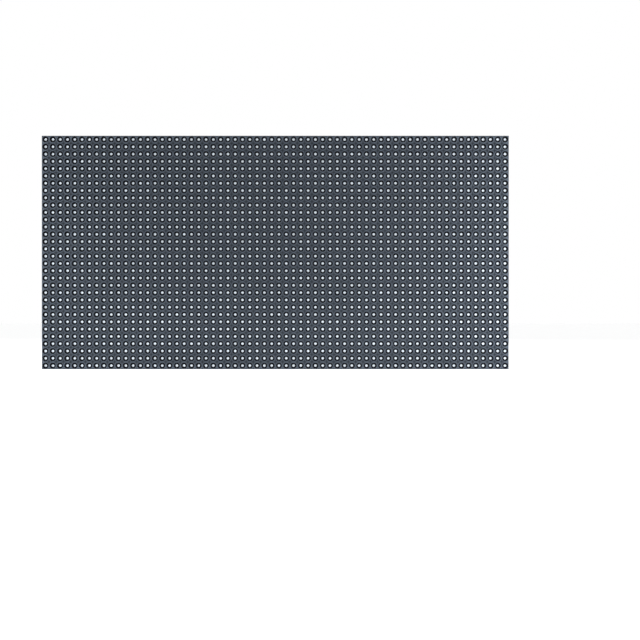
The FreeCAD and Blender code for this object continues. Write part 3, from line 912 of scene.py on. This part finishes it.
def flat_ring(x, z, outer, inner, vertices=24):
    """A printed ring."""
    piece = start(bpy.ops.mesh.primitive_circle_add, vertices=vertices, radius=inner, fill_type="NOTHING",
                  location=(x, rear_y, z), rotation=FACING_REAR)
    edit(piece)
    bpy.ops.mesh.extrude_edges_move(TRANSFORM_OT_translate={"value": (0, 0, 0)})
    bpy.ops.transform.resize(value=(outer / inner, 1, outer / inner), center_override=(x, rear_y, z))
    done()
    return piece


def flat_dot(x, z, radius):
    """A printed dot."""
    return start(bpy.ops.mesh.primitive_circle_add, vertices=16, radius=radius, fill_type="NGON",
                 location=(x, rear_y, z), rotation=FACING_REAR)


def arrow(tip_x, tip_z, sideways, length, head_width, shaft_width):
    """A printed arrow that points up, or sideways to -X. Its head is half as long as it is wide."""
    head = head_width / 2
    half = shaft_width / 2
    head_centre = head / 1.5
    head_side = head_width / math.sqrt(3)
    turn = math.radians(-90) if sideways else 0
    piece = start(bpy.ops.mesh.primitive_circle_add, vertices=3, radius=1, fill_type="NGON",
                  location=(0, rear_y, 0), rotation=(math.radians(90), turn, 0))
    edit(piece, "FACE")
    if sideways:
        bpy.ops.transform.resize(value=(head_centre, 1, head_side), center_override=MIDDLE)
        bpy.ops.transform.translate(value=(tip_x + head_centre, 0, tip_z))
    else:
        bpy.ops.transform.resize(value=(head_side, 1, head_centre), center_override=MIDDLE)
        bpy.ops.transform.translate(value=(tip_x, 0, tip_z - head_centre))
    done()
    if sideways:
        shaft = flat(tip_x + head, tip_x + length, tip_z - half, tip_z + half)
    else:
        shaft = flat(tip_x - half, tip_x + half, tip_z - head, tip_z - length)
    return [piece, shaft]


pin_ring = (1.38 * MM, 0.92 * MM)
joint_ring = (1.2 * MM, 0.6 * MM)
joint_lift = 0.008 * MM
joint_x = pin_columns[1] * pitch
ink = []
for x, z in pin_places:
    by_arrows = abs(abs(x) - joint_x) < MM and abs(z - middle_z) < MM
    ink.append(flat_ring(x, z, *(joint_ring if by_arrows else pin_ring)))
    if by_arrows:
        ink[-1].data.transform(Matrix.Translation((0, joint_lift, 0)))

up_arrow = {"length": 7.5 * MM, "head_width": 6 * MM, "shaft_width": 2.0 * MM}
side_arrow = {"length": 8.2 * MM, "head_width": 5.5 * MM, "shaft_width": 1.6 * MM}
up_tip_z = 72.4 * MM
side_tip_z = 62.3 * MM
for up_tip_x, side_tip_x in ((63.6 * MM, 58.4 * MM), (-62.5 * MM, -67.6 * MM)):
    ink += arrow(up_tip_x, up_tip_z, False, **up_arrow)
    ink += arrow(side_tip_x, side_tip_z, True, **side_arrow)

resistor_box = {"x_size": 3.7 * MM, "z_size": 3.0 * MM, "thickness": 0.4 * MM, "corner": 1.1 * MM, "cuts": 4}
resistor_box_rise = 0.3 * MM
spare_box = {"x_size": 2.9 * MM, "z_size": 1.9 * MM, "thickness": 0.35 * MM, "corner": 0.8 * MM, "cuts": 4}
spare_offset = (-3.7 * MM, -0.2 * MM)
for x, z in resistor_places:
    ink.append(outline_box(x, z + resistor_box_rise, **resistor_box))
    ink.append(outline_box(x + spare_offset[0], z + spare_offset[1], **spare_box))
buffer_box = {"x_size": 10.9 * MM, "z_size": 9.6 * MM, "thickness": 0.35 * MM}
for x, z in buffer_places:
    ink.append(outline_box(x, z, **buffer_box))
can_box = {"x_size": 8.6 * MM, "z_size": 8.7 * MM, "thickness": 0.4 * MM, "corner": 1.3 * MM, "cuts": 1}
dot_offset = (-5.0 * MM, -2.1 * MM)
dot_radius = 0.55 * MM
empty_place = (-104.8 * MM, 54.6 * MM)
for x, z in can_places + [empty_place]:
    ink.append(outline_box(x, z, **can_box))
    ink.append(flat_dot(x + dot_offset[0], z + dot_offset[1], dot_radius))

empty_x, empty_z = empty_place
empty_ring = 3.4 * MM
empty_line = 0.35 * MM
hatch_line = 0.3 * MM
empty_tab = (1.4 * MM, 0.75 * MM)
empty_tab_place = 3.5 * MM
ink.append(flat_ring(empty_x, empty_z, empty_ring + empty_line, empty_ring, vertices=32))
for near in (0.5 * MM, 1.1 * MM, 1.7 * MM, 2.3 * MM, 2.9 * MM):
    far = near + hatch_line
    reach = math.sqrt(empty_ring ** 2 - far ** 2)
    ink.append(flat(empty_x - near, empty_x - far, empty_z - reach, empty_z + reach))
for side in (-1, 1):
    tab_x = empty_x + side * empty_tab_place
    solder_spots.append(slab(tab_x - empty_tab[0], tab_x + empty_tab[0], rear_y - pad_height,
                             rear_y + pad_height, empty_z - empty_tab[1], empty_z + empty_tab[1],
                             free_y=rear_y + pad_height))
    dress(solder_spots[-1], solder)

comb_pitch = 2.54 * MM
comb_holes = 8
comb_margin = 0.4 * MM
comb_hole_radius = 0.98 * MM
comb_slot = 0.62 * MM
spot_radius = 0.45 * MM
spot_rim = 0.15 * MM
spot_profile = [
    (spot_radius + spot_rim, rear_y - pad_height),
    (spot_radius + spot_rim, rear_y + pad_height),
    (spot_radius, rear_y + 0.1 * MM),
    (0.1 * MM, rear_y + 0.2 * MM),
]
first_hole_z = middle_z - (comb_holes - 1) * comb_pitch / 2
last_hole_z = first_hole_z + (comb_holes - 1) * comb_pitch
combs = []
for spine_x, mouth_x, hole_x in ((73.5 * MM, 77.2 * MM, 75.9 * MM), (-73.6 * MM, -77.2 * MM, -76.0 * MM)):
    past_mouth_x = mouth_x + math.copysign(MM, mouth_x)
    plate = slab(min(spine_x, mouth_x), max(spine_x, mouth_x), rear_y - ink_height, rear_y + ink_height,
                 first_hole_z - comb_pitch / 2 - comb_margin, last_hole_z + comb_pitch / 2 + comb_margin)
    hole = post(comb_hole_radius, hole_x, first_hole_z, rear_y - MM, rear_y + MM, vertices=20)
    slot = slab(min(hole_x, past_mouth_x), max(hole_x, past_mouth_x), rear_y - MM, rear_y + MM,
                first_hole_z - comb_slot, first_hole_z + comb_slot)
    for cutter in (hole, slot):
        repeat(cutter, comb_holes, (0, 0, comb_pitch))
        shaped(plate, "BOOLEAN", operation="DIFFERENCE", object=cutter)
        bpy.data.objects.remove(cutter)
    combs.append(plate)
    for i in range(comb_holes):
        solder_spots.append(turned(spot_profile, hole_x, first_hole_z + i * comb_pitch, vertices=12))
        dress(solder_spots[-1], solder)

key_mark = (86.5 * MM, 88.5 * MM, 61.6 * MM, 66.4 * MM)
ink.append(flat(*key_mark))
power_low, power_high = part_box("power_header_pins")
power_x = (power_low.x + power_high.x) / 2
power_foot_z = 63.9 * MM
power_top_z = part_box("power_header_housing")[1].z + 0.6 * MM
power_box = {"x_size": 17.9 * MM, "z_size": power_top_z - power_foot_z, "thickness": 0.45 * MM, "corner": MM}
ink.append(outline_box(power_x, (power_foot_z + power_top_z) / 2, **power_box))
plus_x = -18.9 * MM
minus_x = -26.8 * MM
mark_z = 61.5 * MM
mark_half = 1.2 * MM
mark_line = 0.3 * MM
ink.append(flat(plus_x - mark_half, plus_x + mark_half, mark_z - mark_line, mark_z + mark_line))
ink.append(flat(plus_x - mark_line, plus_x + mark_line, mark_z + mark_line, mark_z + mark_half))
ink.append(flat(plus_x - mark_line, plus_x + mark_line, mark_z - mark_half, mark_z - mark_line))
ink.append(flat(minus_x - mark_half, minus_x + mark_half, mark_z - mark_line, mark_z + mark_line))
blank_field = (-19.4 * MM, -6.9 * MM, 19.5 * MM, 28.5 * MM)
ink.append(flat(*blank_field))
aim_x = 111.8 * MM
aim_z = 16.4 * MM
aim_radius = 0.5 * MM
aim_ring = (1.5 * MM, 1.2 * MM)
ink.append(flat_ring(aim_x, aim_z, *aim_ring))
solder_spots.append(turned([(aim_radius, rear_y - pad_height), (aim_radius, rear_y + pad_height)],
                           aim_x, aim_z, vertices=16))
dress(solder_spots[-1], solder)

board_ink = finish("board_ink", tone(228, 232, 238), mottle=0.05, mottle_mm=2, grain=0.3, grain_mm=0.2,
                   roughness=0.6)
board_print = join([shaped(join(ink), "SOLIDIFY", thickness=2 * ink_height, offset=0)] + combs)
dress(board_print, board_ink)
complete(board_print, "board_print", smooth=30)
complete(join(solder_spots), "solder_pads", smooth=30)


# The floor is a plain pale sheet that shows the panel's shadow, and the room round it is as white.
# Both look white to the camera and in mirrors, and give the panel little light.
def seen_as_white(tree):
    """1 for the rays that meet the background as it looks: camera, glossy and transmission rays."""
    path = tree.nodes.new("ShaderNodeLightPath")
    seen = path.outputs["Is Camera Ray"]
    for kind in ("Is Glossy Ray", "Is Transmission Ray"):
        either = tree.nodes.new("ShaderNodeMath")
        either.operation = "MAXIMUM"
        tree.links.new(seen, either.inputs[0])
        tree.links.new(path.outputs[kind], either.inputs[1])
        seen = either.outputs[0]
    return seen


def backdrop_white(name, own_light):
    """A pale surface that the camera and mirrors see as white, except in shadow."""
    material = bpy.data.materials.new(name)
    material.use_nodes = True
    tree = material.node_tree
    shader = tree.nodes["Principled BSDF"]
    shader.inputs["Base Color"].default_value = (0.86, 0.86, 0.86, 1)
    shader.inputs["Roughness"].default_value = 0.9
    strength = tree.nodes.new("ShaderNodeMath")
    strength.operation = "MULTIPLY"
    strength.inputs[1].default_value = own_light
    tree.links.new(seen_as_white(tree), strength.inputs[0])
    shader.inputs["Emission Color"].default_value = (1, 1, 1, 1)
    tree.links.new(strength.outputs[0], shader.inputs["Emission Strength"])
    return material


floor = start(bpy.ops.mesh.primitive_plane_add, size=30, location=(0, 0, 0))
floor.name = "floor"
dress(floor, backdrop_white("floor_white", 0.8))
floor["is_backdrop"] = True
world = bpy.data.worlds.new("studio")
bpy.context.scene.world = world
world.use_nodes = True
sky = world.node_tree
room_light = sky.nodes["Background"]
room_light.inputs["Color"].default_value = (0.95, 0.98, 1.0, 1)
room_light.inputs["Strength"].default_value = 0.1
room_white = sky.nodes.new("ShaderNodeBackground")
room_white.inputs["Color"].default_value = (1, 1, 1, 1)
room_white.inputs["Strength"].default_value = 1.0
choice = sky.nodes.new("ShaderNodeMixShader")
sky.links.new(seen_as_white(sky), choice.inputs["Fac"])
sky.links.new(room_light.outputs[0], choice.inputs[1])
sky.links.new(room_white.outputs[0], choice.inputs[2])
sky.links.new(choice.outputs[0], sky.nodes["World Output"].inputs["Surface"])


# Studio lamps: a soft key lights the whole face, two small ones graze the mask from its ends, a strip
# near the floor lifts its lowest rows, and two soft ones light the back.
def soft_lamp(name, place, aim, size, power, depth=None):
    """A studio lamp that the camera doesn't see, square or a strip."""
    light = bpy.data.lights.new(name, "AREA")
    light.size = size
    if depth:
        light.shape = "RECTANGLE"
        light.size_y = depth
    light.energy = power
    lamp = bpy.data.objects.new(name, light)
    lamp.location = place
    lamp.rotation_euler = (Vector(aim) - Vector(place)).to_track_quat("-Z", "Y").to_euler()
    lamp.visible_camera = False
    bpy.context.scene.collection.objects.link(lamp)


panel_middle = (0, 0, middle_z)
soft_lamp("front_key", (0.05, -1.0, 0.2), panel_middle, 0.5, 4.9)
soft_lamp("right_lamp", (0.24, -0.09, 0.055), (0.03, 0, 0.05), 0.12, 0.42)
soft_lamp("left_lamp", (-0.24, -0.09, 0.055), (-0.03, 0, 0.05), 0.12, 0.24)
soft_lamp("low_strip", (0.0, -0.05, 0.012), (0.0, 0, 0.03), 0.25, 0.025, 0.02)
soft_lamp("rear_key", (0.3, 1.0, 0.95), panel_middle, 0.6, 12)
soft_lamp("rear_fill", (-0.7, 0.9, 0.3), panel_middle, 0.8, 3.4)

# The bounds of the finished model, without the floor.
bpy.context.view_layer.update()
low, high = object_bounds()
